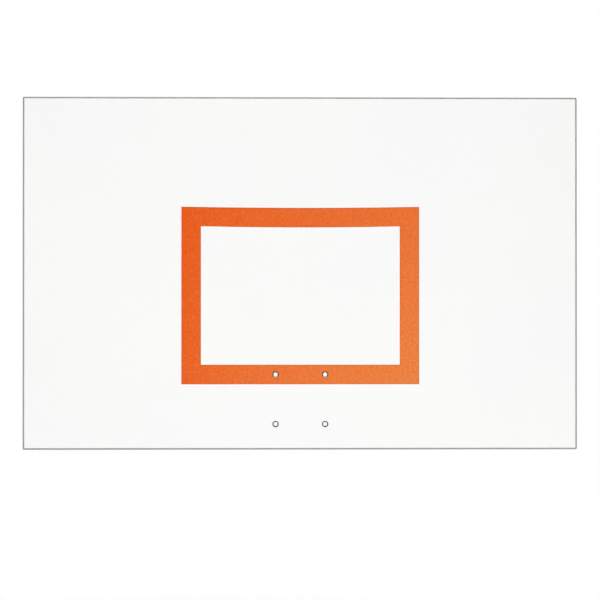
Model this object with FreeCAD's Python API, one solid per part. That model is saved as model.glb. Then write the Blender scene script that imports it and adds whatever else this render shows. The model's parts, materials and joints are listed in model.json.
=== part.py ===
"""Rectangular steel basketball backboard, as an assembly of separate solids.

A white folded steel pan carries a painted target frame and a square of rim bolt holes. Behind the face
are two hat-section uprights, hat-section ribs, corner gussets, and the rim's load path: a doubler plate,
crush sleeves and a bolted channel. Slotted angle brackets on the uprights take the braces of a post or
a wall frame.

Millimetres. +X is right and +Z up, seen from the court. +Y points back, away from the court.
The origin is the centre of the rim bolt holes, on the front face.
"""

import FreeCAD
import Part

import math
import os

from FreeCAD import Vector

# Face panel: one folded sheet with its edges turned back
BOARD_WIDTH = 1422.0
BOARD_HEIGHT = 904.0
FLANGE_DEPTH = 45.0
SHEET = 2.7
BEND_INSIDE = 1.8
DRAIN_HOLE = 10.0

# Rim bolt holes: a square pattern in the lower middle of the face
RIM_SPACING = 127.0
RIM_HOLE = 10.5
RIM_CENTRE_HEIGHT = 129.0

# Painted target frame
TARGET_WIDTH = 610.0
TARGET_HEIGHT = 455.0
TARGET_BAR = 50.0
TARGET_FILM = 0.2
TARGET_SAG = 2.8

# Hat-section uprights
UPRIGHT_SPACING = 508.0
UPRIGHT_CROWN = 60.0
UPRIGHT_FOOT = 22.0
UPRIGHT_SHEET = 3.0
HAT_BEND_INSIDE = 2.0

# Hat-section ribs
RIB_CROWN = 40.0
RIB_DEPTH = 24.0
RIB_FOOT = 18.0
RIB_SHEET = 2.0
RIB_ROWS = ("lower", "middle", "upper")

# Corner gussets
GUSSET_LEG = 100.0
GUSSET_SHEET = 3.0
GUSSET_CLIP = 8.0
GUSSET_TOE = 10.0

# Rim load path: doubler plate, shouldered crush sleeves and bolted channel
DOUBLER_MARGIN = 30.0
DOUBLER_SHEET = 3.0
DOUBLER_CORNER = 12.0
SLEEVE_NECK = 16.0
SLEEVE_NECK_CHAMFER = 0.8
SLEEVE_OUTSIDE = 25.0
SLEEVE_BORE = 15.0
SLEEVE_STEP = 4.0
POST_HOLE = 14.3
CHANNEL_HEIGHT = 220.0
CHANNEL_LIP = 25.0
CHANNEL_SHEET = 5.0
CHANNEL_BEND_INSIDE = 4.0
CHANNEL_BOLT_PITCH = 110.0

# Slotted angle brackets
BRACKET_LEG = 60.0
BRACKET_LENGTH = 80.0
BRACKET_SHEET = 6.0
BRACKET_ROOT = 5.0
BRACKET_CORNER = 14.0
BRACKET_BOLT_PITCH = 44.0
BRACKET_ABOVE_CHANNEL = 20.0
BRACKET_BELOW_TOP = 57.0
SLOT_WIDTH = 14.3
SLOT_LENGTH = 34.0
SLOT_FROM_TOE = 24.0

# Hex bolts, washers and weld nuts
BOLT_DIAMETER = 10.0
BOLT_LENGTH = 25.0
BOLT_CHAMFER = 1.0
HEX_FLATS = 17.0
HEX_CHAMFER = 1.2
HEAD_HEIGHT = 6.4
NUT_HEIGHT = 8.0
WASHER_OUTSIDE = 20.0
WASHER_THICK = 2.0
LOCK_WASHER_OUTSIDE = 18.0
LOCK_WASHER_THICK = 2.5
LOCK_WASHER_SLIT = 1.6
LOCK_WASHER_SLANT = 25.0

# Clearances
FIT_GAP = 0.3
WELD_GAP = 1.2
BOLT_CLEARANCE = 1.0
THREAD_CLEARANCE = 0.1
NECK_CLEARANCE = 0.4
WASHER_CLEARANCE = 0.6

# Planes and places that follow from the sizes above
BOTTOM = -RIM_CENTRE_HEIGHT
TOP = BOTTOM + BOARD_HEIGHT
HALF_WIDTH = BOARD_WIDTH / 2
HALF_RIM = RIM_SPACING / 2
UPRIGHT_X = UPRIGHT_SPACING / 2
UPRIGHT_HALF = UPRIGHT_CROWN / 2 + UPRIGHT_FOOT
CROWN_INNER_FACE = FLANGE_DEPTH - UPRIGHT_SHEET
END_GAP = BEND_INSIDE + WELD_GAP
CHANNEL_BACK = FLANGE_DEPTH + CHANNEL_SHEET
BRACKET_BACK = FLANGE_DEPTH + BRACKET_SHEET
LOWER_BRACKET_Z = CHANNEL_HEIGHT / 2 + BRACKET_ABOVE_CHANNEL + BRACKET_LENGTH / 2
UPPER_BRACKET_Z = TOP - BRACKET_BELOW_TOP - BRACKET_LENGTH / 2
RIB_PITCH = TOP / len(RIB_ROWS)
SIDES = {"left": -1, "right": 1}
BRACKET_HEIGHTS = {"lower": LOWER_BRACKET_Z, "upper": UPPER_BRACKET_Z}

BACKWARD = Vector(0, 1, 0)
OVERCUT = 1.0


# Shared shapes

def on_xy(z):
    """Maps a section's (u, v) to x and y, at height z."""
    return lambda u, v: Vector(u, v, z)


def on_zy(x):
    """Maps a section's (u, v) to z and y, at place x."""
    return lambda u, v: Vector(x, v, u)


def on_xz(y):
    """Maps a section's (u, v) to x and z, at depth y."""
    return lambda u, v: Vector(u, y, v)


def rounded_wire(corners, to_space):
    """Closed wire through (u, v, radius) corners, with a tangent arc where a radius isn't zero."""
    turns = []
    for i, (u, v, radius) in enumerate(corners):
        corner = Vector(u, v, 0)
        before = corners[i - 1]
        after = corners[(i + 1) % len(corners)]
        back = (Vector(before[0], before[1], 0) - corner).normalize()
        ahead = (Vector(after[0], after[1], 0) - corner).normalize()
        half_angle = back.getAngle(ahead) / 2
        run = radius / math.tan(half_angle)
        inward = (back + ahead).normalize()
        middle = corner + inward * (radius / math.sin(half_angle) - radius)
        turns.append((corner + back * run, middle, corner + ahead * run, radius))
    edges = []
    for i, (start, middle, end, radius) in enumerate(turns):
        previous_end = turns[i - 1][2]
        if (start - previous_end).Length > 1e-6:
            line = Part.LineSegment(to_space(*previous_end[:2]), to_space(*start[:2]))
            edges.append(line.toShape())
        if radius > 0:
            arc = Part.Arc(to_space(*start[:2]), to_space(*middle[:2]), to_space(*end[:2]))
            edges.append(arc.toShape())
    return Part.Wire(edges)


def prism(corners, to_space, direction):
    """Solid swept from a rounded outline along a direction."""
    return Part.Face(rounded_wire(corners, to_space)).extrude(direction)


def rectangle(width, height, radius, centre=(0.0, 0.0)):
    """Corners of a rectangle with equal corner radii."""
    u, v = centre
    half_width = width / 2
    half_height = height / 2
    return [
        (u - half_width, v - half_height, radius),
        (u + half_width, v - half_height, radius),
        (u + half_width, v + half_height, radius),
        (u - half_width, v + half_height, radius),
    ]


def drill(x, z, diameter, front, back):
    """Round cutter along Y from depth front to depth back, with overcut at both ends."""
    length = back - front + 2 * OVERCUT
    return Part.makeCylinder(diameter / 2, length, Vector(x, front - OVERCUT, z), BACKWARD)


def tube(x, z, outside, inside, front, back):
    """Round tube along Y between two depths."""
    body = Part.makeCylinder(outside / 2, back - front, Vector(x, front, z), BACKWARD)
    return body.cut(drill(x, z, inside, front, back))


def hat_section(crown, depth, foot, sheet, seat):
    """Corners of a hat section whose feet lie at v = seat and whose crown is depth further back."""
    inside = HAT_BEND_INSIDE
    outside = HAT_BEND_INSIDE + sheet
    web = crown / 2
    toe = web + foot
    bore = web - sheet
    foot_back = seat + sheet
    back = seat + depth
    right = [
        (bore, back - sheet, inside),
        (bore, seat, outside),
        (toe, seat, 0),
        (toe, foot_back, 0),
        (web, foot_back, inside),
        (web, back, outside),
    ]
    left = [(-u, v, radius) for u, v, radius in reversed(right)]
    return right + left


def rim_holes():
    """Places (x, z) of the four rim bolt holes."""
    return [(x, z) for z in (-HALF_RIM, HALF_RIM) for x in (-HALF_RIM, HALF_RIM)]


def channel_bolts():
    """Places (x, z) of the bolts that hold the channel to the uprights."""
    half_pitch = CHANNEL_BOLT_PITCH / 2
    return [(side * UPRIGHT_X, z) for side in SIDES.values() for z in (-half_pitch, half_pitch)]


def bracket_bolts():
    """Places (x, z) of the bolts that hold the brackets to the uprights."""
    half_pitch = BRACKET_BOLT_PITCH / 2
    return [
        (side * UPRIGHT_X, height + step)
        for side in SIDES.values()
        for height in BRACKET_HEIGHTS.values()
        for step in (-half_pitch, half_pitch)
    ]


# Front of the board

def rounded_tray(inset, radius, back):
    """Block of the board's outline, drawn in by inset, with its front and corner edges rounded."""
    origin = Vector(inset - HALF_WIDTH, inset, BOTTOM + inset)
    block = Part.makeBox(BOARD_WIDTH - 2 * inset, back - inset, BOARD_HEIGHT - 2 * inset, origin)
    at_back = [edge for edge in block.Edges if edge.BoundBox.YMin > back - 1e-6]
    rounded = [edge for edge in block.Edges if not any(edge.isSame(other) for other in at_back)]
    return block.makeFillet(radius, rounded)


def face_panel():
    """Folded pan: flat face, four turned-back edges, rim bolt holes and drain holes."""
    outer = rounded_tray(0.0, BEND_INSIDE + SHEET, FLANGE_DEPTH)
    inner = rounded_tray(SHEET, BEND_INSIDE, FLANGE_DEPTH + OVERCUT)
    pan = outer.cut(inner)
    for x, z in rim_holes():
        pan = pan.cut(drill(x, z, SLEEVE_NECK + NECK_CLEARANCE, 0.0, SHEET))
    wing_middle = (UPRIGHT_X + UPRIGHT_HALF + HALF_WIDTH) / 2
    for x in (-wing_middle, 0.0, wing_middle):
        start = Vector(x, FLANGE_DEPTH / 2, BOTTOM - OVERCUT)
        pan = pan.cut(Part.makeCylinder(DRAIN_HOLE / 2, SHEET + 2 * OVERCUT, start))
    return pan


def sagging_frame(width, bottom, top, depth):
    """Rectangular wire at a depth, whose top edge sags by TARGET_SAG at its middle."""
    half = width / 2
    low_left = Vector(-half, depth, bottom)
    low_right = Vector(half, depth, bottom)
    high_right = Vector(half, depth, top)
    high_left = Vector(-half, depth, top)
    high_middle = Vector(0, depth, top - TARGET_SAG)
    edges = [
        Part.LineSegment(low_left, low_right),
        Part.LineSegment(low_right, high_right),
        Part.Arc(high_right, high_middle, high_left),
        Part.LineSegment(high_left, low_left),
    ]
    return Part.Wire([edge.toShape() for edge in edges])


def target_rectangle():
    """Paint film of the target: a frame whose lower bar is centred on the upper rim holes."""
    bottom = HALF_RIM - TARGET_BAR / 2
    top = bottom + TARGET_HEIGHT
    outer = sagging_frame(TARGET_WIDTH, bottom, top, 0.0)
    inner = sagging_frame(TARGET_WIDTH - 2 * TARGET_BAR, bottom + TARGET_BAR, top - TARGET_BAR, 0.0)
    forward = Vector(0, -TARGET_FILM, 0)
    film = Part.Face(outer).extrude(forward).cut(Part.Face(inner).extrude(forward))
    for x, z in rim_holes():
        film = film.cut(drill(x, z, SLEEVE_NECK + NECK_CLEARANCE, -TARGET_FILM, 0.0))
    return film


# Stiffening behind the face

def upright(side):
    """Hat-section upright between the lower and upper edges, drilled for the channel and the brackets."""
    start = BOTTOM + SHEET + END_GAP
    length = BOARD_HEIGHT - 2 * (SHEET + END_GAP)
    section = hat_section(UPRIGHT_CROWN, FLANGE_DEPTH - SHEET, UPRIGHT_FOOT, UPRIGHT_SHEET, SHEET)
    solid = prism(section, on_xy(start), Vector(0, 0, length))
    solid.translate(Vector(side * UPRIGHT_X, 0, 0))
    for x, z in channel_bolts() + bracket_bolts():
        if x * side > 0:
            hole = BOLT_DIAMETER + BOLT_CLEARANCE
            solid = solid.cut(drill(x, z, hole, CROWN_INNER_FACE, FLANGE_DEPTH))
    return solid


def rib(start_x, end_x, z):
    """Hat-section rib along X, centred on height z."""
    section = hat_section(RIB_CROWN, RIB_DEPTH, RIB_FOOT, RIB_SHEET, SHEET)
    solid = prism(section, on_zy(start_x), Vector(end_x - start_x, 0, 0))
    solid.translate(Vector(0, 0, z))
    return solid


def ribs():
    """Named ribs: a pair of wing ribs in each row, and a centre rib in the rows above the rim holes."""
    wing_start = UPRIGHT_X + UPRIGHT_HALF + FIT_GAP
    wing_end = HALF_WIDTH - SHEET - END_GAP
    centre_end = UPRIGHT_X - UPRIGHT_HALF - FIT_GAP
    named = {}
    for step, row in enumerate(RIB_ROWS):
        height = step * RIB_PITCH
        named[f"rib_{row}_left"] = rib(-wing_end, -wing_start, height)
        named[f"rib_{row}_right"] = rib(wing_start, wing_end, height)
        if step > 0:
            named[f"rib_{row}_centre"] = rib(-centre_end, centre_end, height)
    return named


def corner_gusset(side, end):
    """Triangular plate across a corner, flush with the rear of the turned-back edges."""
    corner_x = HALF_WIDTH - SHEET - FIT_GAP
    corner_z = BOARD_HEIGHT / 2 - SHEET - FIT_GAP
    outline = [
        (corner_x - GUSSET_LEG, corner_z, 0),
        (corner_x - GUSSET_CLIP, corner_z, 0),
        (corner_x, corner_z - GUSSET_CLIP, 0),
        (corner_x, corner_z - GUSSET_LEG, 0),
        (corner_x - GUSSET_TOE, corner_z - GUSSET_LEG, 0),
        (corner_x - GUSSET_LEG, corner_z - GUSSET_TOE, 0),
    ]
    middle_z = (BOTTOM + TOP) / 2
    placed = [(side * u, middle_z + end * v, radius) for u, v, radius in outline]
    return prism(placed, on_xz(FLANGE_DEPTH - GUSSET_SHEET), Vector(0, GUSSET_SHEET, 0))


# Rim load path

def rim_doubler_plate():
    """Plate behind the face that spreads the rim's load, with holes for the sleeves' necks."""
    size = RIM_SPACING + 2 * DOUBLER_MARGIN
    plate = prism(rectangle(size, size, DOUBLER_CORNER), on_xz(SHEET), Vector(0, DOUBLER_SHEET, 0))
    for x, z in rim_holes():
        plate = plate.cut(drill(x, z, SLEEVE_NECK + NECK_CLEARANCE, SHEET, SHEET + DOUBLER_SHEET))
    return plate


def rim_sleeve(x, z):
    """Crush sleeve round a rim bolt: its neck is flush with the face, its shoulder backs the doubler plate."""
    shoulder = SHEET + DOUBLER_SHEET
    neck_radius = SLEEVE_NECK / 2
    tip_radius = neck_radius - SLEEVE_NECK_CHAMFER
    tip = Part.makeCone(tip_radius, neck_radius, SLEEVE_NECK_CHAMFER, Vector(x, 0, z), BACKWARD)
    neck_length = shoulder - SLEEVE_NECK_CHAMFER
    neck = Part.makeCylinder(neck_radius, neck_length, Vector(x, SLEEVE_NECK_CHAMFER, z), BACKWARD)
    body_length = FLANGE_DEPTH - shoulder
    body = Part.makeCylinder(SLEEVE_OUTSIDE / 2, body_length, Vector(x, shoulder, z), BACKWARD)
    sleeve = body.fuse([neck, tip]).cut(drill(x, z, RIM_HOLE, 0.0, FLANGE_DEPTH))
    wide_start = Vector(x, shoulder + SLEEVE_STEP, z)
    wide = Part.makeCylinder(SLEEVE_BORE / 2, body_length, wide_start, BACKWARD)
    return sleeve.cut(wide).removeSplitter()


def rim_mount_channel():
    """Channel bolted across both uprights, lips to the rear, with the rim holes through its web."""
    half = CHANNEL_HEIGHT / 2
    inside = CHANNEL_BEND_INSIDE
    outside = CHANNEL_BEND_INSIDE + CHANNEL_SHEET
    lip_back = CHANNEL_BACK + CHANNEL_LIP
    upper = [
        (half - CHANNEL_SHEET, CHANNEL_BACK, inside),
        (half - CHANNEL_SHEET, lip_back, 0),
        (half, lip_back, 0),
        (half, FLANGE_DEPTH, outside),
    ]
    lower = [(-u, v, radius) for u, v, radius in reversed(upper)]
    width = UPRIGHT_SPACING + UPRIGHT_CROWN
    channel = prism(upper + lower, on_zy(-width / 2), Vector(width, 0, 0))
    for x, z in rim_holes():
        channel = channel.cut(drill(x, z, POST_HOLE, FLANGE_DEPTH, CHANNEL_BACK))
    for x, z in channel_bolts():
        hole = BOLT_DIAMETER + BOLT_CLEARANCE
        channel = channel.cut(drill(x, z, hole, FLANGE_DEPTH, CHANNEL_BACK))
    return channel


# Mounting brackets and fasteners

def angle_bracket(side, height):
    """Angle on an upright's crown: one leg bolted down, the other standing back with an upright slot."""
    toe = BRACKET_SHEET / 2
    back = FLANGE_DEPTH + BRACKET_LEG
    near = UPRIGHT_X - UPRIGHT_CROWN / 2
    section = [
        (near, FLANGE_DEPTH, 0),
        (near + BRACKET_LEG, FLANGE_DEPTH, 0),
        (near + BRACKET_LEG, BRACKET_BACK, toe),
        (near + BRACKET_SHEET, BRACKET_BACK, BRACKET_ROOT),
        (near + BRACKET_SHEET, back, toe),
        (near, back, 0),
    ]
    placed = [(side * u, v, radius) for u, v, radius in section]
    low = height - BRACKET_LENGTH / 2
    high = height + BRACKET_LENGTH / 2
    angle = prism(placed, on_xy(low), Vector(0, 0, BRACKET_LENGTH))
    silhouette = [
        (low, FLANGE_DEPTH, 0),
        (high, FLANGE_DEPTH, 0),
        (high, back, BRACKET_CORNER),
        (low, back, BRACKET_CORNER),
    ]
    reach = HALF_WIDTH
    angle = angle.common(prism(silhouette, on_zy(-reach), Vector(2 * reach, 0, 0)))
    slot = rectangle(SLOT_LENGTH, SLOT_WIDTH, SLOT_WIDTH / 2, (height, back - SLOT_FROM_TOE))
    slot_start = side * (near - OVERCUT)
    slot_run = side * (BRACKET_SHEET + 2 * OVERCUT)
    angle = angle.cut(prism(slot, on_zy(slot_start), Vector(slot_run, 0, 0)))
    for x, z in bracket_bolts():
        hole = BOLT_DIAMETER + BOLT_CLEARANCE
        angle = angle.cut(drill(x, z, hole, FLANGE_DEPTH, BRACKET_BACK))
    return angle


def hexagon(x, z, front, height, chamfer_back):
    """Hexagonal block along Y with its corners chamfered at its back or its front end."""
    radius = HEX_FLATS / math.sqrt(3)
    turns = [math.radians(60 * step) for step in range(6)]
    outline = [(x + radius * math.cos(turn), z + radius * math.sin(turn), 0) for turn in turns]
    block = prism(outline, on_xz(front), Vector(0, height, 0))
    small = HEX_FLATS / 2
    base = height - HEX_CHAMFER
    cone = Part.makeCone(radius, small, HEX_CHAMFER, Vector(0, base, 0), BACKWARD)
    envelope = Part.makeCylinder(radius, base, Vector(0, 0, 0), BACKWARD).fuse(cone)
    if not chamfer_back:
        envelope.rotate(Vector(0, height / 2, 0), Vector(1, 0, 0), 180)
    envelope.translate(Vector(x, front, z))
    return block.common(envelope)


def stack_depths(seat):
    """Depths of a bolt's washer, lock washer and head, on a plate whose back is at seat."""
    lock_washer = seat + WASHER_THICK
    head = lock_washer + LOCK_WASHER_THICK
    return seat, lock_washer, head


def hex_bolt(x, z, seat):
    """Hex bolt pointing to the front, its head on the lock washer."""
    head = stack_depths(seat)[2]
    tip = head - BOLT_LENGTH
    radius = BOLT_DIAMETER / 2
    point = Part.makeCone(radius - BOLT_CHAMFER, radius, BOLT_CHAMFER, Vector(x, tip, z), BACKWARD)
    shank_start = Vector(x, tip + BOLT_CHAMFER, z)
    shank = Part.makeCylinder(radius, BOLT_LENGTH - BOLT_CHAMFER, shank_start, BACKWARD)
    return hexagon(x, z, head, HEAD_HEIGHT, True).fuse([shank, point]).removeSplitter()


def flat_washer(x, z, seat):
    """Plain washer on the clamped plate."""
    washer = stack_depths(seat)[0]
    return tube(x, z, WASHER_OUTSIDE, BOLT_DIAMETER + WASHER_CLEARANCE, washer, washer + WASHER_THICK)


def lock_washer(x, z, seat):
    """Split lock washer under the bolt's head, with a slanted slit on its upper side."""
    front = stack_depths(seat)[1]
    back = front + LOCK_WASHER_THICK
    ring = tube(x, z, LOCK_WASHER_OUTSIDE, BOLT_DIAMETER + WASHER_CLEARANCE, front, back)
    reach = LOCK_WASHER_OUTSIDE
    slit = Part.makeBox(LOCK_WASHER_SLIT, reach, reach, Vector(-LOCK_WASHER_SLIT / 2, -reach / 2, 0))
    slit.rotate(Vector(0, 0, 0), Vector(0, 0, 1), LOCK_WASHER_SLANT)
    slit.translate(Vector(x, (front + back) / 2, z))
    return ring.cut(slit)


def weld_nut(x, z):
    """Hex nut welded inside an upright's crown."""
    front = CROWN_INNER_FACE - NUT_HEIGHT
    nut = hexagon(x, z, front, NUT_HEIGHT, False)
    return nut.cut(drill(x, z, BOLT_DIAMETER + THREAD_CLEARANCE, front, CROWN_INNER_FACE))


def fasteners():
    """Groups of equal fasteners, by node name."""
    groups = {"upright_weld_nuts": [weld_nut(x, z) for x, z in channel_bolts() + bracket_bolts()]}
    sets = {"channel": (channel_bolts(), CHANNEL_BACK), "bracket": (bracket_bolts(), BRACKET_BACK)}
    for name, (places, seat) in sets.items():
        groups[f"{name}_bolts"] = [hex_bolt(x, z, seat) for x, z in places]
        groups[f"{name}_washers"] = [flat_washer(x, z, seat) for x, z in places]
        groups[f"{name}_lock_washers"] = [lock_washer(x, z, seat) for x, z in places]
    return groups


# Assembly

def build():
    """All nodes by name, each a list of solids."""
    nodes = {"face_panel": [face_panel()], "target_rectangle": [target_rectangle()]}
    for name, side in SIDES.items():
        nodes[f"upright_{name}"] = [upright(side)]
    for name, solid in ribs().items():
        nodes[name] = [solid]
    for row, end in {"lower": -1, "upper": 1}.items():
        for name, side in SIDES.items():
            nodes[f"gusset_{row}_{name}"] = [corner_gusset(side, end)]
    nodes["rim_doubler_plate"] = [rim_doubler_plate()]
    nodes["rim_sleeves"] = [rim_sleeve(x, z) for x, z in rim_holes()]
    nodes["rim_mount_channel"] = [rim_mount_channel()]
    for row, height in BRACKET_HEIGHTS.items():
        for name, side in SIDES.items():
            nodes[f"bracket_{row}_{name}"] = [angle_bracket(side, height)]
    nodes.update(fasteners())
    return nodes


def main():
    os.makedirs("parts", exist_ok=True)
    for name, solids in build().items():
        whole = [solid for piece in solids for solid in piece.Solids]
        shape = whole[0] if len(whole) == 1 else Part.makeCompound(whole)
        shape.exportStep(f"parts/{name}.step")
        volume = sum(solid.Volume for solid in whole)
        valid = all(solid.isValid() for solid in whole)
        print(f"{name}: {len(whole)} solids, {volume / 1000:.1f} cm3, valid {valid}")


main()
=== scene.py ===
import json
import math
import random
from collections import namedtuple

import bmesh
import bpy
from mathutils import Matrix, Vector


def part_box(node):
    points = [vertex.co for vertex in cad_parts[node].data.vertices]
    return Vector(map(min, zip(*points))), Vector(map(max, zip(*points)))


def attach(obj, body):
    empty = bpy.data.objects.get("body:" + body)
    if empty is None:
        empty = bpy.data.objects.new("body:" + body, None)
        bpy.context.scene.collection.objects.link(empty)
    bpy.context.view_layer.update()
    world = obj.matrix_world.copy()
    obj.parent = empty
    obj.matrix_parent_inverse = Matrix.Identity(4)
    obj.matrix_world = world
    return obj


# Looks of a steel basketball backboard: a white coated pan with a painted target, welded and bolted
# stiffening behind it, and a plain white studio. Metres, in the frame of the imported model: +X to the
# right as seen from the front, +Y back, +Z up.

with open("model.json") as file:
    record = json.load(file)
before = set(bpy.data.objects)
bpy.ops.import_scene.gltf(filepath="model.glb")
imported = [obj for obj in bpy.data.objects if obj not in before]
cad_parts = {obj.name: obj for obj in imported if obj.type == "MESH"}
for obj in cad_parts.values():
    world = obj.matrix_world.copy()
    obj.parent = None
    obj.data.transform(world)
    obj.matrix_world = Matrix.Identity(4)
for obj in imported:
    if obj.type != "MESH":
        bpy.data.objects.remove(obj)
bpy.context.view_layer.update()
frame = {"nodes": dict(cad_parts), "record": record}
nodes = frame["nodes"]

MM = 0.001
BACK = (0, 1, 0)

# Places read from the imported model
PAN_LOW, PAN_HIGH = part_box("face_panel")
TARGET_LOW, TARGET_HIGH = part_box("target_rectangle")
DOUBLER_LOW, DOUBLER_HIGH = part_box("rim_doubler_plate")
SLEEVES_LOW, SLEEVES_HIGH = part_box("rim_sleeves")
# The doubler plate lies on the back of the face sheet, so its front gives the sheet's thickness
SHEET = DOUBLER_LOW.y
RIBS = [name for name in sorted(nodes) if name.startswith("rib_")]
GUSSETS = [name for name in sorted(nodes) if name.startswith("gusset_")]
UPRIGHTS = ["upright_left", "upright_right"]

# Sizes of the solids that their boxes don't give
TARGET_BAR = 50.0 * MM
TARGET_SAG = 2.8 * MM
CORNER_RADIUS = 4.5 * MM
RIB_FOOT = 18.0 * MM
RIB_SHEET = 2.0 * MM
UPRIGHT_FOOT = 22.0 * MM
UPRIGHT_SHEET = 3.0 * MM
SLEEVE_RADIUS = 12.5 * MM
UPPER_HOLE_Z = SLEEVES_HIGH.z - SLEEVE_RADIUS

# Camera
LENS = 187.2
SENSOR = 36.0
CAMERA_DISTANCE = 8.0
CAMERA_YAW = math.radians(1.52)
CAMERA_PITCH = math.radians(0.4)
AIM_X = -0.001
AIM_Z = 0.2545

# Studio
AMBIENT = 0.27
FLOOR_DROP = 0.62
FLOOR_RADIUS = 3.1
FLOOR_FADE_START = 1.2
FLOOR_GREY = 0.9
FLOOR_DRIFT = 0.01
FLOOR_SIDES = 96
# A level is the light that reaches the aim, as a share of full white
Softbox = namedtuple("Softbox", "place aim size level in_gloss", defaults=(True,))
SOFTBOXES = {
    "key": Softbox(place=(0.0, -4.4, 1.3), aim=(0.0, 0.0, 0.6), size=2.0, level=0.522, in_gloss=False),
    "fill_left": Softbox(place=(-3.4, -2.9, 0.6), aim=(0.0, 0.0, 0.3), size=1.6, level=0.12),
    "fill_right": Softbox(place=(3.4, -2.9, 0.6), aim=(0.0, 0.0, 0.3), size=1.6, level=0.08),
    "overhead": Softbox(place=(0.0, 0.2, 7.0), aim=(0.0, 0.2, -0.75), size=5.0, level=0.26),
    "rear_high": Softbox(place=(2.6, 3.2, 3.0), aim=(0.0, 0.0, 0.3), size=1.8, level=0.56),
    "rear_low": Softbox(place=(-3.0, 3.4, 0.5), aim=(0.0, 0.0, 0.3), size=1.6, level=0.09),
}

# Colours, as linear red, green and blue
WARM_WHITE = (0.937, 0.937, 0.917, 1)
COOL_WHITE = (0.923, 0.926, 0.926, 1)
# Grey of real specks and wear, and of the painted shade along the front bend
GREY_WEAR_AND_SHADE = (0.24, 0.24, 0.237, 1)
DUST = (0.50, 0.46, 0.40, 1)
FRESH_ORANGE = (0.845, 0.108, 0.0093, 1)
FADED_ORANGE = (0.880, 0.243, 0.0600, 1)
ORANGE_RIDGE = (0.50, 0.10, 0.020, 1)
SHADOW = (0, 0, 0, 1)
# Blackened steel of the sleeves, dark enough to serve as painted shade inside the rim holes
STEEL_BLACK_AND_HOLE_SHADE = (0.045, 0.045, 0.048, 1)
STEEL_BROWN = (0.13, 0.060, 0.032, 1)
# Painted highlight on the lower lip of the upper rim sleeves
STEEL_PAINTED_HIGHLIGHT = (0.62, 0.55, 0.46, 1)
ZINC_LIGHT = (0.60, 0.62, 0.64, 1)
ZINC_YELLOW = (0.60, 0.56, 0.44, 1)
ZINC_DARK = (0.36, 0.37, 0.39, 1)
SPRING_GREY = (0.17, 0.17, 0.18, 1)
SPANGLE_LIGHT = (0.52, 0.54, 0.56, 1)
SPANGLE_DARK = (0.34, 0.36, 0.38, 1)
WEATHERED_ZINC = (0.47, 0.48, 0.475, 1)
GRIME = (0.16, 0.14, 0.12, 1)

# Where each mark on the finish starts and where it is full, as depth, height or distance from an edge
DUST_DEPTH = (SHEET - 0.2 * MM, SHEET + 0.6 * MM)
SPLASH_HEIGHT = (PAN_LOW.z + 120.0 * MM, PAN_LOW.z + 10.0 * MM)
BEND_LINE = (4.6 * MM, 3.9 * MM)
BEND_DEPTH = (7.0 * MM, 4.0 * MM)
OUTER_SKIN = (0.95 * SHEET, 0.75 * SHEET)
CHIP_DEPTH = (PAN_HIGH.y - 1.2 * MM, PAN_HIGH.y - 0.2 * MM)
RIDGE_REACH = (2.4 * MM, 0.8 * MM)
STAIN_DEPTH = (1.4 * MM, 0.6 * MM)
STAIN_HEIGHT = (0.0, 10.0 * MM)
# Height band of the painted highlight on the lower lip of the upper rim sleeves
LIT_LIP_HEIGHT = (UPPER_HOLE_Z - 3.0 * MM, UPPER_HOLE_Z - 6.5 * MM)
# How far the grey line along the front bend, painted shade of the bend and thin worn coat, strays from its
# place
BEND_WANDER = 0.5 * MM
# Exponent of the target's fading from left to right
FADE_CURVE = 0.65

# Relief of the finish, as depths
SHEET_WAVE = 1.2 * MM
ORANGE_PEEL = 0.12 * MM
WELD_PITS = 0.15 * MM
PAINT_STIPPLE = 0.10 * MM
PAINT_RIDGE = 0.15 * MM
STEEL_MOTTLE = 0.08 * MM
ZINC_LUMPS = 0.5 * MM
ZINC_STREAKS = 0.04 * MM
PLATE_GRAIN = 0.03 * MM

# Crystals of the hot-dip zinc: raggedness of their borders, their tilt, and the run of their streaks
CRYSTAL_RAGGED = 7.0 * MM
GRAIN_RAGGED = 4.0 * MM
CRYSTAL_TILT = 0.16
STREAK_AXIS = (0.5, 0.7, 0.5)
STREAK_STRETCH = (1.0, 1.0, 0.1)

# Mesh of the beads
BEAD_AROUND = 12
BEAD_STEP = 0.55 * MM
BEAD_FEWEST_STEPS = 4
# Ripples of the beads: their pitch, and how far their sides trail behind
BEAD_RIPPLE = 2.1 * MM
BEAD_LAG = 1.1 * MM
# Shares of a bead's size: what a ripple loses, what varies by chance, and what is left at an end
BEAD_SWELL = 0.16
BEAD_UNEVEN = 0.04
BEAD_END = 0.35

# Spot marks
SPOT_AROUND = 24
SPOT_PITCH = 48.0 * MM
SPOT_END = 22.0 * MM
# Radius and rise, from the middle of a mark to its rim
SPOT_PROFILE = [
    (0.0, 0.04 * MM),
    (2.0 * MM, 0.05 * MM),
    (2.6 * MM, 0.13 * MM),
    (3.2 * MM, 0.27 * MM),
    (3.8 * MM, 0.28 * MM),
    (4.7 * MM, 0.14 * MM),
    (6.0 * MM, -0.05 * MM),
]

# Sizes of the beads
Bead = namedtuple("Bead", "width height")
CORNER_SEAM = Bead(4.2 * MM, 0.45 * MM)
GUSSET_BEAD = Bead(5.0 * MM, 1.3 * MM)
UPRIGHT_CROWN_BEAD = Bead(5.6 * MM, 2.0 * MM)
UPRIGHT_FOOT_BEAD = Bead(5.2 * MM, 2.2 * MM)
RIB_CROWN_BEAD = Bead(5.4 * MM, 1.9 * MM)
RIB_FOOT_BEAD = Bead(4.6 * MM, 1.2 * MM)
DOUBLER_BEAD = Bead(5.0 * MM, 2.2 * MM)
SLEEVE_BEAD = Bead(4.6 * MM, 2.0 * MM)

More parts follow.
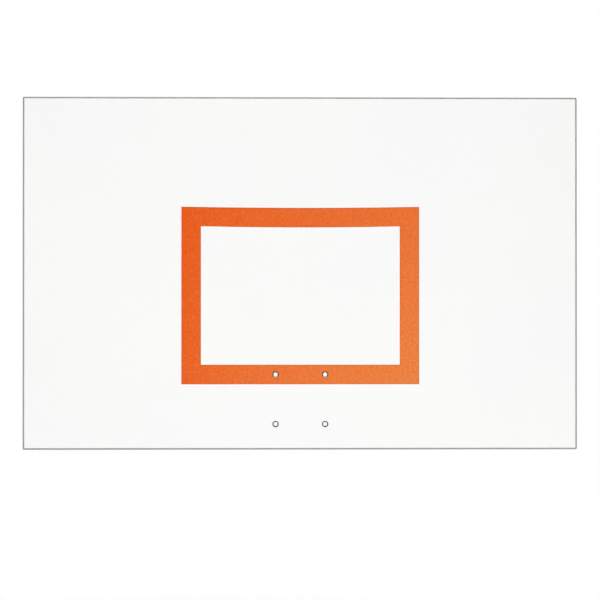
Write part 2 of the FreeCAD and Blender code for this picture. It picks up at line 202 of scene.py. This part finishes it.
# Where the beads lie: how far they keep from the ends of a seam, and how deep they are set
CORNER_SEAM_START = 2.5 * MM
CORNER_SEAM_STOP = 1.0 * MM
GUSSET_CORNER_MARGIN = 12.0 * MM
GUSSET_TOE_MARGIN = 6.0 * MM
UPRIGHT_CROWN_MARGIN = 4.0 * MM
UPRIGHT_CROWN_SINK = 1.6 * MM
UPRIGHT_FOOT_MARGIN = 7.0 * MM
RIB_CROWN_MARGIN = 3.0 * MM
RIB_CROWN_SINK = 1.2 * MM
RIB_FOOT_OUTER_MARGIN = 2.0 * MM
RIB_FOOT_INNER_MARGIN = 4.0 * MM
HALF_STITCH = 16.0 * MM
FILLET_SEAT = 0.4 * MM
# Half the gap between a rib and an upright
HALF_JOINT = 0.15 * MM
# A rib's end that is nearer than this to the board's side meets the pan there
NEAR_PAN = 10.0 * MM
# Seed of the first kind of weld; the others count on from it
FIRST_SEED = 10


def thrice(value):
    """The same value for all three axes."""
    return (value, value, value)


# Shader helper

class Shader:
    """A material in the making, with short calls for the nodes it needs."""

    def __init__(self, name):
        self.material = bpy.data.materials.new(name)
        self.material.use_nodes = True
        self.tree = self.material.node_tree
        self.surface = self.tree.nodes["Principled BSDF"]
        self.place = self.node("ShaderNodeTexCoord").outputs["Object"]
        axes = self.node("ShaderNodeSeparateXYZ", {0: self.place})
        self.x, self.y, self.z = axes.outputs

    def feed(self, socket, value):
        """Links a socket to another one, or sets its value."""
        if isinstance(value, bpy.types.NodeSocket):
            self.tree.links.new(value, socket)
        else:
            socket.default_value = value

    def node(self, kind, inputs=None, **settings):
        """New node with its settings and its inputs, by name or number."""
        made = self.tree.nodes.new(kind)
        for name, value in settings.items():
            setattr(made, name, value)
        for key, value in (inputs or {}).items():
            self.feed(made.inputs[key], value)
        return made

    def maths(self, operation, first, second=0.0):
        """Arithmetic on one or two numbers."""
        return self.node("ShaderNodeMath", {0: first, 1: second}, operation=operation).outputs[0]

    def plus(self, first, second):
        return self.maths("ADD", first, second)

    def minus(self, first, second):
        return self.maths("SUBTRACT", first, second)

    def times(self, first, second):
        return self.maths("MULTIPLY", first, second)

    def smaller(self, first, second):
        return self.maths("MINIMUM", first, second)

    def larger(self, first, second):
        return self.maths("MAXIMUM", first, second)

    def part(self, value, share):
        """A fixed share of a value."""
        return self.times(value, share)

    def ramp(self, value, start, end):
        """Smooth step from 0 at start to 1 at end; start may be the larger."""
        low, high = min(start, end), max(start, end)
        targets = (0.0, 1.0) if start < end else (1.0, 0.0)
        inputs = {0: value, 1: low, 2: high, 3: targets[0], 4: targets[1]}
        return self.node("ShaderNodeMapRange", inputs, interpolation_type="SMOOTHSTEP").outputs[0]

    def spread(self, value, low, high):
        """Maps 0 to 1 onto low to high."""
        return self.node("ShaderNodeMapRange", {0: value, 3: low, 4: high}).outputs[0]

    def noise(self, scale, detail=2.0, roughness=0.5, place=None):
        """Cloudy noise between 0 and 1, at object coordinates unless another place is given."""
        if place is None:
            place = self.place
        inputs = {"Vector": place, "Scale": scale, "Detail": detail, "Roughness": roughness}
        return self.node("ShaderNodeTexNoise", inputs).outputs[0]

    def vector(self, operation, first, second):
        """Arithmetic on two vectors."""
        return self.node("ShaderNodeVectorMath", {0: first, 1: second}, operation=operation).outputs[0]

    def centred(self, colour, reach):
        """A random colour as a vector about zero, by up to about half the reach along each axis."""
        return self.vector("MULTIPLY", self.vector("SUBTRACT", colour, thrice(0.5)), thrice(reach))

    def ragged_place(self, scale, reach):
        """Object coordinates pushed about by noise, by up to about half the reach."""
        inputs = {"Vector": self.place, "Scale": scale, "Detail": 3.0}
        push = self.node("ShaderNodeTexNoise", inputs).outputs["Color"]
        return self.vector("ADD", self.place, self.centred(push, reach))

    def cells(self, scale, place):
        """Voronoi cells: a random colour for each cell."""
        return self.node("ShaderNodeTexVoronoi", {"Vector": place, "Scale": scale}).outputs["Color"]

    def red(self, colour):
        """The red share of a colour."""
        return self.node("ShaderNodeSeparateColor", {0: colour}).outputs[0]

    def blend(self, factor, first, second):
        """Mix of two colours."""
        mix = self.node("ShaderNodeMix", {0: factor, 6: first, 7: second}, data_type="RGBA")
        return mix.outputs[2]

    def surface_normal(self):
        """Normal of the surface, before any relief."""
        return self.node("ShaderNodeNewGeometry").outputs["Normal"]

    def bump(self, height, depth, strength, before=None):
        """Normal bent by a height map whose full range stands for a depth in metres."""
        inputs = {"Height": height, "Distance": depth, "Strength": strength}
        if before is not None:
            inputs["Normal"] = before
        return self.node("ShaderNodeBump", inputs).outputs[0]

    def facing_up(self):
        """1 on surfaces that face up, 0 on the rest."""
        up = self.node("ShaderNodeSeparateXYZ", {0: self.surface_normal()}).outputs[2]
        return self.ramp(up, start=0.5, end=0.95)

    def finish(self, **inputs):
        """Feeds the surface shader and returns the material."""
        for name, value in inputs.items():
            self.feed(self.surface.inputs[name.replace("_", " ")], value)
        return self.material


# Materials

def coat_base(shader):
    """Colour, roughness and normal of white powder coat with orange peel, over rolled sheet."""
    drift = shader.ramp(shader.noise(scale=1.7), start=0.35, end=0.65)
    tone = shader.blend(drift, WARM_WHITE, COOL_WHITE)
    speck = shader.ramp(shader.noise(scale=170.0, detail=3.0, roughness=0.6), start=0.30, end=0.72)
    tone = shader.blend(shader.spread(speck, low=0.035, high=0.0), tone, GREY_WEAR_AND_SHADE)
    roughness = shader.spread(shader.noise(scale=9.0, detail=4.0), low=0.30, high=0.46)
    sheet = shader.bump(shader.noise(scale=3.2, detail=1.0), SHEET_WAVE, strength=0.35)
    peel = shader.bump(shader.noise(scale=330.0), ORANGE_PEEL, strength=0.35, before=sheet)
    return tone, roughness, peel


def add_dust(shader, tone):
    """Dust behind the sheet: on faces that look up, and splashed on near the lower edge."""
    behind = shader.ramp(shader.y, *DUST_DEPTH)
    low = shader.ramp(shader.z, *SPLASH_HEIGHT)
    patches = shader.ramp(shader.noise(scale=26.0, detail=5.0, roughness=0.65), start=0.30, end=0.75)
    lying = shader.times(shader.facing_up(), shader.spread(patches, low=0.06, high=0.28))
    splash = shader.times(low, shader.spread(patches, low=0.0, high=0.16))
    amount = shader.times(behind, shader.larger(lying, splash))
    return shader.blend(amount, tone, DUST)


def edge_distance(shader):
    """Distance to the nearest edge of the board, measured in the plane of the face."""
    across = shader.minus(PAN_HIGH.x, shader.maths("ABSOLUTE", shader.x))
    above = shader.minus(PAN_HIGH.z, shader.z)
    below = shader.minus(shader.z, PAN_LOW.z)
    return shader.smaller(across, shader.smaller(above, below))


def pan_coat():
    """White coat of the pan, with a grey line outside along the front bend that is painted shade of the
    bend and thin worn coat, chipped on the cut rear edges.
    """
    shader = Shader("pan_coat")
    tone, roughness, normal = coat_base(shader)
    tone = add_dust(shader, tone)
    # Grey line along the front bend: painted shade where the bend turns away from the light, and thin worn
    # coat there
    wander = shader.spread(shader.noise(scale=14.0, detail=3.0), -BEND_WANDER, BEND_WANDER)
    inset = edge_distance(shader)
    from_edge = shader.plus(inset, wander)
    bend_shade_and_wear = shader.times(shader.ramp(from_edge, *BEND_LINE), shader.ramp(shader.y, *BEND_DEPTH))
    outside = shader.ramp(shader.smaller(inset, shader.y), *OUTER_SKIN)
    bend_shade_and_wear = shader.times(bend_shade_and_wear, outside)
    strength = shader.spread(shader.noise(scale=55.0, detail=4.0), low=0.80, high=1.0)
    tone = shader.blend(shader.times(bend_shade_and_wear, strength), tone, GREY_WEAR_AND_SHADE)
    flakes = shader.ramp(shader.noise(scale=210.0, detail=4.0), start=0.63, end=0.69)
    chips = shader.times(shader.ramp(shader.y, *CHIP_DEPTH), flakes)
    tone = shader.blend(chips, tone, GREY_WEAR_AND_SHADE)
    return shader.finish(Base_Color=tone, Roughness=roughness, Normal=normal, Specular_IOR_Level=0.4)


def frame_coat():
    """White coat of the pieces behind the face, with dust."""
    shader = Shader("frame_coat")
    tone, roughness, normal = coat_base(shader)
    tone = add_dust(shader, tone)
    return shader.finish(Base_Color=tone, Roughness=roughness, Normal=normal, Specular_IOR_Level=0.4)


def weld_coat():
    """White coat over weld metal: rougher, pitted and patchy grey."""
    shader = Shader("weld_coat")
    tone, _, normal = coat_base(shader)
    soot = shader.ramp(shader.noise(scale=180.0, detail=4.0, roughness=0.6), start=0.42, end=0.75)
    tone = shader.blend(shader.spread(soot, low=0.06, high=0.30), tone, DUST)
    roughness = shader.spread(soot, low=0.40, high=0.62)
    normal = shader.bump(shader.noise(scale=700.0), WELD_PITS, strength=0.5, before=normal)
    return shader.finish(Base_Color=tone, Roughness=roughness, Normal=normal, Specular_IOR_Level=0.35)


def target_edge_distance(shader):
    """Distance to the nearest edge of the target's frame, whose upper edges sag towards the middle."""
    half = TARGET_HIGH.x
    along = shader.times(shader.x, 1.0 / half)
    sag = shader.times(shader.minus(1.0, shader.times(along, along)), TARGET_SAG)
    across = shader.minus(half, shader.maths("ABSOLUTE", shader.x))
    above = shader.minus(shader.minus(TARGET_HIGH.z, sag), shader.z)
    below = shader.minus(shader.z, TARGET_LOW.z)
    outer = shader.smaller(across, shader.smaller(above, below))
    return shader.smaller(outer, shader.minus(TARGET_BAR, outer))


def paint_fade(shader, stipple):
    """How far the target's paint is faded: more to the right and low down, in clouds and fine dots."""
    size = TARGET_HIGH - TARGET_LOW
    across = shader.maths("DIVIDE", shader.minus(shader.x, TARGET_LOW.x), size.x)
    down = shader.maths("DIVIDE", shader.minus(TARGET_HIGH.z, shader.z), size.z)
    sideways = shader.maths("POWER", across, FADE_CURVE)
    fade = shader.times(sideways, shader.spread(down, low=0.50, high=0.82))
    fade = shader.plus(fade, shader.part(down, share=0.13))
    clouds = shader.noise(scale=38.0, detail=4.0, roughness=0.6)
    fade = shader.plus(fade, shader.spread(clouds, low=-0.18, high=0.16))
    return shader.plus(fade, shader.spread(stipple, low=-0.32, high=0.32))


def target_paint():
    """Orange paint, faded to the lower right, with a fine stipple whose hollows get painted shade, and a
    dark ridge at its edges.
    """
    shader = Shader("target_paint")
    stipple = shader.noise(scale=165.0, detail=4.0, roughness=0.7)
    tone = shader.blend(paint_fade(shader, stipple), FRESH_ORANGE, FADED_ORANGE)
    # Painted shade in the hollows of the stipple
    painted_stipple_shade = shader.spread(shader.ramp(stipple, start=0.32, end=0.68), low=0.16, high=0.0)
    tone = shader.blend(painted_stipple_shade, tone, SHADOW)
    ridge = shader.ramp(target_edge_distance(shader), *RIDGE_REACH)
    tone = shader.blend(shader.part(ridge, share=0.5), tone, ORANGE_RIDGE)
    roughness = shader.spread(stipple, low=0.50, high=0.72)
    normal = shader.bump(stipple, PAINT_STIPPLE, strength=0.5)
    normal = shader.bump(ridge, PAINT_RIDGE, strength=0.6, before=normal)
    return shader.finish(Base_Color=tone, Roughness=roughness, Normal=normal, Specular_IOR_Level=0.12)


def blackened_steel_and_hole_shade():
    """Dull black steel of the rim sleeves, its darkness also painted shade inside the rim holes; those in
    the target are stained brown, with a painted highlight on their lower lip.
    """
    shader = Shader("blackened_steel_and_hole_shade")
    mottle = shader.ramp(shader.noise(scale=420.0, detail=4.0, roughness=0.6), start=0.40, end=0.72)
    # Near-black steel with mottle, which is also the painted shade inside the rim holes
    tone = shader.blend(shader.spread(mottle, low=0.0, high=0.35), STEEL_BLACK_AND_HOLE_SHADE, ZINC_DARK)
    stained = shader.times(shader.ramp(shader.y, *STAIN_DEPTH), shader.ramp(shader.z, *STAIN_HEIGHT))
    tone = shader.blend(shader.part(stained, share=0.8), tone, STEEL_BROWN)
    # Painted highlight on the lower lip of the sleeves in the target, where light from above would fall
    lit_lip_highlight = shader.times(stained, shader.ramp(shader.z, *LIT_LIP_HEIGHT))
    tone = shader.blend(shader.part(lit_lip_highlight, share=0.6), tone, STEEL_PAINTED_HIGHLIGHT)
    roughness = shader.spread(mottle, low=0.42, high=0.66)
    normal = shader.bump(mottle, STEEL_MOTTLE, strength=0.4)
    return shader.finish(Base_Color=tone, Roughness=roughness, Normal=normal, Specular_IOR_Level=0.15)


def crystal_streaks(shader, crystal):
    """Fine streaks, which run in a direction of their own in each crystal of zinc."""
    angle = shader.times(crystal, math.tau)
    inputs = {"Vector": shader.place, "Axis": STREAK_AXIS, "Angle": angle}
    turned = shader.node("ShaderNodeVectorRotate", inputs).outputs[0]
    return shader.noise(scale=900.0, place=shader.vector("MULTIPLY", turned, STREAK_STRETCH))


def galvanised():
    """Hot-dip zinc: ragged crystals, each with its own tone, tilt and streaks, under a cloudy film."""
    shader = Shader("galvanised")
    seeds = shader.cells(scale=95.0, place=shader.ragged_place(scale=140.0, reach=CRYSTAL_RAGGED))
    crystal = shader.red(seeds)
    grain_place = shader.ragged_place(scale=300.0, reach=GRAIN_RAGGED)
    grains = shader.red(shader.cells(scale=310.0, place=grain_place))
    streaks = crystal_streaks(shader, crystal)
    mixed = shader.plus(shader.part(crystal, share=0.55), shader.part(grains, share=0.25))
    mixed = shader.plus(mixed, shader.part(streaks, share=0.2))
    tone = shader.blend(mixed, SPANGLE_DARK, SPANGLE_LIGHT)
    film = shader.ramp(shader.noise(scale=11.0, detail=5.0, roughness=0.62), start=0.40, end=0.68)
    tone = shader.blend(shader.spread(film, low=0.15, high=0.75), tone, WEATHERED_ZINC)
    clean_roughness = shader.spread(mixed, low=0.30, high=0.46)
    roughness = shader.plus(clean_roughness, shader.spread(film, low=0.0, high=0.18))
    tilted = shader.vector("ADD", shader.surface_normal(), shader.centred(seeds, CRYSTAL_TILT))
    normal = shader.node("ShaderNodeVectorMath", {0: tilted}, operation="NORMALIZE").outputs[0]
    normal = shader.bump(shader.noise(scale=55.0, detail=3.0), ZINC_LUMPS, strength=0.35, before=normal)
    normal = shader.bump(streaks, ZINC_STREAKS, strength=0.4, before=normal)
    return shader.finish(Base_Color=tone, Metallic=0.9, Roughness=roughness, Normal=normal)


def zinc_plate(name, light, dark):
    """Zinc plating of the fasteners: faint yellow tint, dull handling marks, grime and fine grain."""
    shader = Shader(name)
    dull = shader.ramp(shader.noise(scale=140.0, detail=4.0), start=0.36, end=0.70)
    tint = shader.ramp(shader.noise(scale=75.0), start=0.42, end=0.66)
    tone = shader.blend(shader.part(tint, share=0.35), light, ZINC_YELLOW)
    tone = shader.blend(dull, tone, dark)
    specks = shader.ramp(shader.noise(scale=420.0, detail=4.0, roughness=0.65), start=0.60, end=0.74)
    tone = shader.blend(shader.part(specks, share=0.45), tone, GRIME)
    clean_roughness = shader.spread(dull, low=0.30, high=0.46)
    roughness = shader.plus(clean_roughness, shader.part(specks, share=0.2))
    normal = shader.bump(shader.noise(scale=1500.0), PLATE_GRAIN, strength=0.4)
    return shader.finish(Base_Color=tone, Metallic=1.0, Roughness=roughness, Normal=normal)


def floor_material():
    """Pale matt floor that fades into the surroundings towards its rim, and is clear from below."""
    shader = Shader("pale_floor")
    clouds = shader.noise(scale=6.0, detail=4.0)
    grey = shader.spread(clouds, FLOOR_GREY - FLOOR_DRIFT, FLOOR_GREY + FLOOR_DRIFT)
    tone = shader.node("ShaderNodeCombineColor", {0: grey, 1: grey, 2: grey}).outputs[0]
    shader.finish(Base_Color=tone, Roughness=0.8, Specular_IOR_Level=0.1)
    radius = shader.node("ShaderNodeVectorMath", {0: shader.place}, operation="LENGTH").outputs["Value"]
    fade = shader.ramp(radius, FLOOR_FADE_START, FLOOR_RADIUS)
    from_below = shader.node("ShaderNodeNewGeometry").outputs["Backfacing"]
    clear = shader.node("ShaderNodeBsdfTransparent").outputs[0]
    inputs = {0: shader.larger(fade, from_below), 1: shader.surface.outputs[0], 2: clear}
    mix = shader.node("ShaderNodeMixShader", inputs)
    shader.feed(shader.tree.nodes["Material Output"].inputs["Surface"], mix.outputs[0])
    return shader.material


# Weld helper

class Welds:
    """Weld beads and spot marks of one kind, gathered in one mesh."""

    def __init__(self, seed):
        self.mesh_data = bmesh.new()
        self.rng = random.Random(seed)

    def section(self, centre, along, out, size, swell):
        """One cross-section of a bead: an oval, drawn back at both sides as a ripple is."""
        side = along.cross(out).normalized()
        ring = []
        for k in range(BEAD_AROUND):
            turn = math.tau * k / BEAD_AROUND
            across = math.cos(turn)
            sideways = side * (across * size.width / 2 * swell)
            lift = out * (math.sin(turn) * size.height * swell)
            lag = along * (-BEAD_LAG * across * across)
            ring.append(self.mesh_data.verts.new(centre + sideways + lift + lag))
        return ring

    def skin(self, rings, closed):
        """Faces from each cross-section to the next, and caps on an open bead."""
        pairs = list(zip(rings, rings[1:]))
        if closed:
            pairs.append((rings[-1], rings[0]))
        for first, second in pairs:
            for k in range(BEAD_AROUND):
                after = (k + 1) % BEAD_AROUND
                self.mesh_data.faces.new((first[k], first[after], second[after], second[k]))
        if not closed:
            self.mesh_data.faces.new(rings[0])
            self.mesh_data.faces.new(rings[-1])

    def bead(self, path, outs, size, closed=False):
        """Rippled bead along a path, half sunk in the seam; outs point away from it at each point."""
        count = len(path)
        travelled = 0.0
        phase = self.rng.random()
        rings = []
        for i, centre in enumerate(path):
            before = path[i - 1] if i > 0 or closed else centre
            after = path[(i + 1) % count] if i < count - 1 or closed else centre
            if i > 0:
                travelled += (centre - path[i - 1]).length
            ripple = (travelled / BEAD_RIPPLE + phase) % 1.0
            swell = 1.0 - BEAD_SWELL * ripple * ripple + BEAD_UNEVEN * (self.rng.random() - 0.5)
            if not closed:
                from_end = min(i, count - 1 - i) * BEAD_STEP
                fullness = math.sqrt(min(1.0, from_end / (size.width / 2)))
                swell *= BEAD_END + (1 - BEAD_END) * fullness
            along = (after - before).normalized()
            rings.append(self.section(centre, along, outs[i], size, swell))
        self.skin(rings, closed)

    def straight(self, start, end, out, size):
        """Bead along a straight seam."""
        start = Vector(start)
        end = Vector(end)
        steps = max(BEAD_FEWEST_STEPS, round((end - start).length / BEAD_STEP))
        path = [start.lerp(end, i / steps) for i in range(steps + 1)]
        self.bead(path, [Vector(out).normalized()] * len(path), size)

    def ring(self, centre, radius, size):
        """Bead round a sleeve, in the corner between it and the plate that it passes through."""
        steps = round(math.tau * radius / BEAD_STEP)
        turns = [math.tau * i / steps for i in range(steps)]
        radial = [Vector((math.cos(turn), 0, math.sin(turn))) for turn in turns]
        path = [Vector(centre) + direction * radius for direction in radial]
        outs = [(direction + Vector(BACK)).normalized() for direction in radial]
        self.bead(path, outs, size, closed=True)

    def spot(self, x, y, z):
        """Electrode mark of a spot weld, on a surface that faces back."""
        middle = self.mesh_data.verts.new((x, y + SPOT_PROFILE[0][1], z))
        previous = None
        for radius, rise in SPOT_PROFILE[1:]:
            ring = []
            for k in range(SPOT_AROUND):
                turn = math.tau * k / SPOT_AROUND
                place = (x + radius * math.cos(turn), y + rise, z + radius * math.sin(turn))
                ring.append(self.mesh_data.verts.new(place))
            for k in range(SPOT_AROUND):
                after = (k + 1) % SPOT_AROUND
                if previous is None:
                    self.mesh_data.faces.new((middle, ring[k], ring[after]))
                else:
                    self.mesh_data.faces.new((previous[k], previous[after], ring[after], ring[k]))
            previous = ring
        self.mesh_data.faces.new(previous)

    def piece(self, name, material):
        """The finished piece, smooth shaded, riding on the board."""
        bmesh.ops.recalc_face_normals(self.mesh_data, faces=self.mesh_data.faces)
        for face in self.mesh_data.faces:
            face.smooth = True
        mesh = bpy.data.meshes.new(name)
        self.mesh_data.to_mesh(mesh)
        self.mesh_data.free()
        mesh.materials.append(material)
        piece = bpy.data.objects.new(name, mesh)
        bpy.context.scene.collection.objects.link(piece)
        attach(piece, "root")


# Places of the welds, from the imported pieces

def evenly(low, high):
    """Places at about the spot pitch between two ends, with the end margin kept."""
    run = high - low - 2 * SPOT_END
    count = max(1, round(run / SPOT_PITCH))
    return [low + SPOT_END + run * i / count for i in range(count + 1)]


def spot_marks(welds):
    """Spot welds along the feet of every rib and upright."""
    for name in RIBS:
        low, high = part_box(name)
        for z in (low.z + RIB_FOOT / 2, high.z - RIB_FOOT / 2):
            for x in evenly(low.x, high.x):
                welds.spot(x, low.y + RIB_SHEET, z)
    for name in UPRIGHTS:
        low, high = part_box(name)
        for x in (low.x + UPRIGHT_FOOT / 2, high.x - UPRIGHT_FOOT / 2):
            for z in evenly(low.z, high.z):
                welds.spot(x, low.y + UPRIGHT_SHEET, z)


def corner_seams(welds):
    """Ground weld seams down the four corners, where the turned-back edges meet."""
    inset = CORNER_RADIUS * (1 - math.sqrt(0.5))
    for side in (-1, 1):
        for end, edge in ((-1, PAN_LOW.z), (1, PAN_HIGH.z)):
            x = side * (PAN_HIGH.x - inset)
            z = edge - end * inset
            start = (x, CORNER_SEAM_START, z)
            finish = (x, PAN_HIGH.y - CORNER_SEAM_STOP, z)
            welds.straight(start, finish, (side, 0, end), CORNER_SEAM)


def gusset_beads(welds):
    """Beads between each corner gusset and the two turned-back edges beside it."""
    for name in GUSSETS:
        low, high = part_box(name)
        side = 1 if low.x > 0 else -1
        end = 1 if name.startswith("gusset_upper") else -1
        outer_x, inner_x = (high.x, low.x) if side > 0 else (low.x, high.x)
        outer_z, inner_z = (high.z, low.z) if end > 0 else (low.z, high.z)
        y = high.y
        start = (inner_x + side * GUSSET_TOE_MARGIN, y, outer_z)
        finish = (outer_x - side * GUSSET_CORNER_MARGIN, y, outer_z)
        welds.straight(start, finish, BACK, GUSSET_BEAD)
        start = (outer_x, y, inner_z + end * GUSSET_TOE_MARGIN)
        finish = (outer_x, y, outer_z - end * GUSSET_CORNER_MARGIN)
        welds.straight(start, finish, BACK, GUSSET_BEAD)


def upright_beads(welds):
    """Beads between the ends of the uprights and the lower and upper edges of the pan."""
    for name in UPRIGHTS:
        low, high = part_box(name)
        crown_start = low.x + UPRIGHT_FOOT + UPRIGHT_CROWN_MARGIN
        crown_finish = high.x - UPRIGHT_FOOT - UPRIGHT_CROWN_MARGIN
        crown_y = high.y - UPRIGHT_CROWN_SINK
        foot_y = low.y + UPRIGHT_SHEET / 2
        foot_run = UPRIGHT_FOOT - UPRIGHT_FOOT_MARGIN
        for own_edge, pan_edge in ((low.z, PAN_LOW.z + SHEET), (high.z, PAN_HIGH.z - SHEET)):
            z = (own_edge + pan_edge) / 2
            start = (crown_start, crown_y, z)
            finish = (crown_finish, crown_y, z)
            welds.straight(start, finish, BACK, UPRIGHT_CROWN_BEAD)
            for x, inward in ((low.x + UPRIGHT_SHEET, 1), (high.x - UPRIGHT_SHEET, -1)):
                start = (x, foot_y, z)
                finish = (x + inward * foot_run, foot_y, z)
                welds.straight(start, finish, BACK, UPRIGHT_FOOT_BEAD)


def rib_beads(welds):
    """Beads across the feet at both ends of every rib, and across its crown where it meets the pan."""
    for name in RIBS:
        low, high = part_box(name)
        foot_y = low.y + RIB_SHEET
        crown_y = high.y - RIB_CROWN_SINK
        crown = (low.z + RIB_FOOT + RIB_CROWN_MARGIN, high.z - RIB_FOOT - RIB_CROWN_MARGIN)
        lower_foot = (low.z + RIB_FOOT_OUTER_MARGIN, low.z + RIB_FOOT - RIB_FOOT_INNER_MARGIN)
        upper_foot = (high.z - RIB_FOOT_OUTER_MARGIN, high.z - RIB_FOOT + RIB_FOOT_INNER_MARGIN)
        for end, edge in ((-1, low.x), (1, high.x)):
            x = edge + end * HALF_JOINT
            if abs(edge) > PAN_HIGH.x - NEAR_PAN:
                x = (edge + end * (PAN_HIGH.x - SHEET)) / 2
                welds.straight((x, crown_y, crown[0]), (x, crown_y, crown[1]), BACK, RIB_CROWN_BEAD)
            for start, finish in (lower_foot, upper_foot):
                welds.straight((x, foot_y, start), (x, foot_y, finish), BACK, RIB_FOOT_BEAD)


def doubler_stitches(welds):
    """Stitch welds round the square rim doubler plate, two on each side."""
    seat = DOUBLER_LOW.y + FILLET_SEAT
    for centre in (DOUBLER_LOW.x / 2, DOUBLER_HIGH.x / 2):
        start = centre - HALF_STITCH
        finish = centre + HALF_STITCH
        for edge, away in ((DOUBLER_LOW.x, -1), (DOUBLER_HIGH.x, 1)):
            welds.straight((start, seat, edge), (finish, seat, edge), (0, 1, away), DOUBLER_BEAD)
            welds.straight((edge, seat, start), (edge, seat, finish), (away, 1, 0), DOUBLER_BEAD)


def sleeve_beads(welds):
    """Fillet beads round the rim sleeves, on the back of the doubler plate."""
    y = DOUBLER_HIGH.y + FILLET_SEAT
    for x in (SLEEVES_LOW.x + SLEEVE_RADIUS, SLEEVES_HIGH.x - SLEEVE_RADIUS):
        for z in (SLEEVES_LOW.z + SLEEVE_RADIUS, SLEEVES_HIGH.z - SLEEVE_RADIUS):
            welds.ring((x, y, z), SLEEVE_RADIUS + FILLET_SEAT, SLEEVE_BEAD)


WELD_KINDS = {
    "spot_welds": spot_marks,
    "corner_weld_seams": corner_seams,
    "gusset_welds": gusset_beads,
    "upright_welds": upright_beads,
    "rib_welds": rib_beads,
    "doubler_welds": doubler_stitches,
    "sleeve_welds": sleeve_beads,
}


# Dressing

def dress(node, material):
    """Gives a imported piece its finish."""
    for slot in nodes[node].material_slots:
        slot.material = material


def dress_board():
    """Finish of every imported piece, by its material slot in the record."""
    finishes = {
        "white_coat": frame_coat(),
        "target_paint": target_paint(),
        "galvanised": galvanised(),
        "dark_steel": blackened_steel_and_hole_shade(),
        "zinc_plate": zinc_plate("zinc_plate", ZINC_LIGHT, ZINC_DARK),
    }
    for subpart in frame["record"]["subparts"]:
        dress(subpart["node"], finishes[subpart["material_slot"]])
    dress("face_panel", pan_coat())
    spring_steel = zinc_plate("dull_zinc", ZINC_DARK, SPRING_GREY)
    for node in ("channel_lock_washers", "bracket_lock_washers"):
        dress(node, spring_steel)


def add_welds():
    """One new piece for each kind of weld, coated as the board is."""
    coat = weld_coat()
    for seed, (name, draw) in enumerate(WELD_KINDS.items(), start=FIRST_SEED):
        welds = Welds(seed)
        draw(welds)
        welds.piece(name, coat)


# Studio

def white_world():
    """Surroundings that are plain white to the eye and in reflections, but dimmer as a light."""
    world = bpy.data.worlds.new("white_studio")
    world.use_nodes = True
    tree = world.node_tree
    rays = tree.nodes.new("ShaderNodeLightPath")
    seen = rays.outputs["Is Camera Ray"]
    for kind in ("Is Glossy Ray", "Is Transmission Ray"):
        either = tree.nodes.new("ShaderNodeMath")
        either.operation = "MAXIMUM"
        tree.links.new(seen, either.inputs[0])
        tree.links.new(rays.outputs[kind], either.inputs[1])
        seen = either.outputs[0]
    strength = tree.nodes.new("ShaderNodeMapRange")
    strength.inputs["To Min"].default_value = AMBIENT
    tree.links.new(seen, strength.inputs["Value"])
    background = tree.nodes["Background"]
    background.inputs["Color"].default_value = (1, 1, 1, 1)
    tree.links.new(strength.outputs[0], background.inputs["Strength"])
    bpy.context.scene.world = world


def softbox(name, facts):
    """Square area lamp whose power gives its level of light at its aim."""
    place = Vector(facts.place)
    ahead = Vector(facts.aim) - place
    data = bpy.data.lights.new(name, "AREA")
    data.shape = "SQUARE"
    data.size = facts.size
    data.energy = facts.level * (math.pi * ahead.length) ** 2
    lamp = bpy.data.objects.new(name, data)
    lamp.location = place
    lamp.rotation_euler = ahead.to_track_quat("-Z", "Y").to_euler()
    lamp.visible_camera = False
    lamp.visible_glossy = facts.in_gloss
    bpy.context.scene.collection.objects.link(lamp)


def floor():
    """Round pale floor below the hanging board."""
    mesh_data = bmesh.new()
    bmesh.ops.create_circle(mesh_data, cap_ends=True, segments=FLOOR_SIDES, radius=FLOOR_RADIUS)
    mesh = bpy.data.meshes.new("floor")
    mesh_data.to_mesh(mesh)
    mesh_data.free()
    mesh.materials.append(floor_material())
    disc = bpy.data.objects.new("floor", mesh)
    disc.location = (0, 0, PAN_LOW.z - FLOOR_DROP)
    bpy.context.scene.collection.objects.link(disc)


def camera():
    """Camera almost square to the face, a little to the left and low, with a long lens."""
    data = bpy.data.cameras.new("camera")
    data.lens = LENS
    data.sensor_width = SENSOR
    ahead = Vector((
        math.sin(CAMERA_YAW) * math.cos(CAMERA_PITCH),
        math.cos(CAMERA_YAW) * math.cos(CAMERA_PITCH),
        math.sin(CAMERA_PITCH),
    ))
    eye = bpy.data.objects.new("camera", data)
    eye.location = Vector((AIM_X, 0, AIM_Z)) - ahead * CAMERA_DISTANCE
    eye.rotation_euler = ahead.to_track_quat("-Z", "Y").to_euler()
    bpy.context.scene.collection.objects.link(eye)
    bpy.context.scene.camera = eye


dress_board()
add_welds()
white_world()
for lamp_name, lamp_facts in SOFTBOXES.items():
    softbox(lamp_name, lamp_facts)
floor()
camera()
bpy.context.scene.view_settings.view_transform = "Standard"
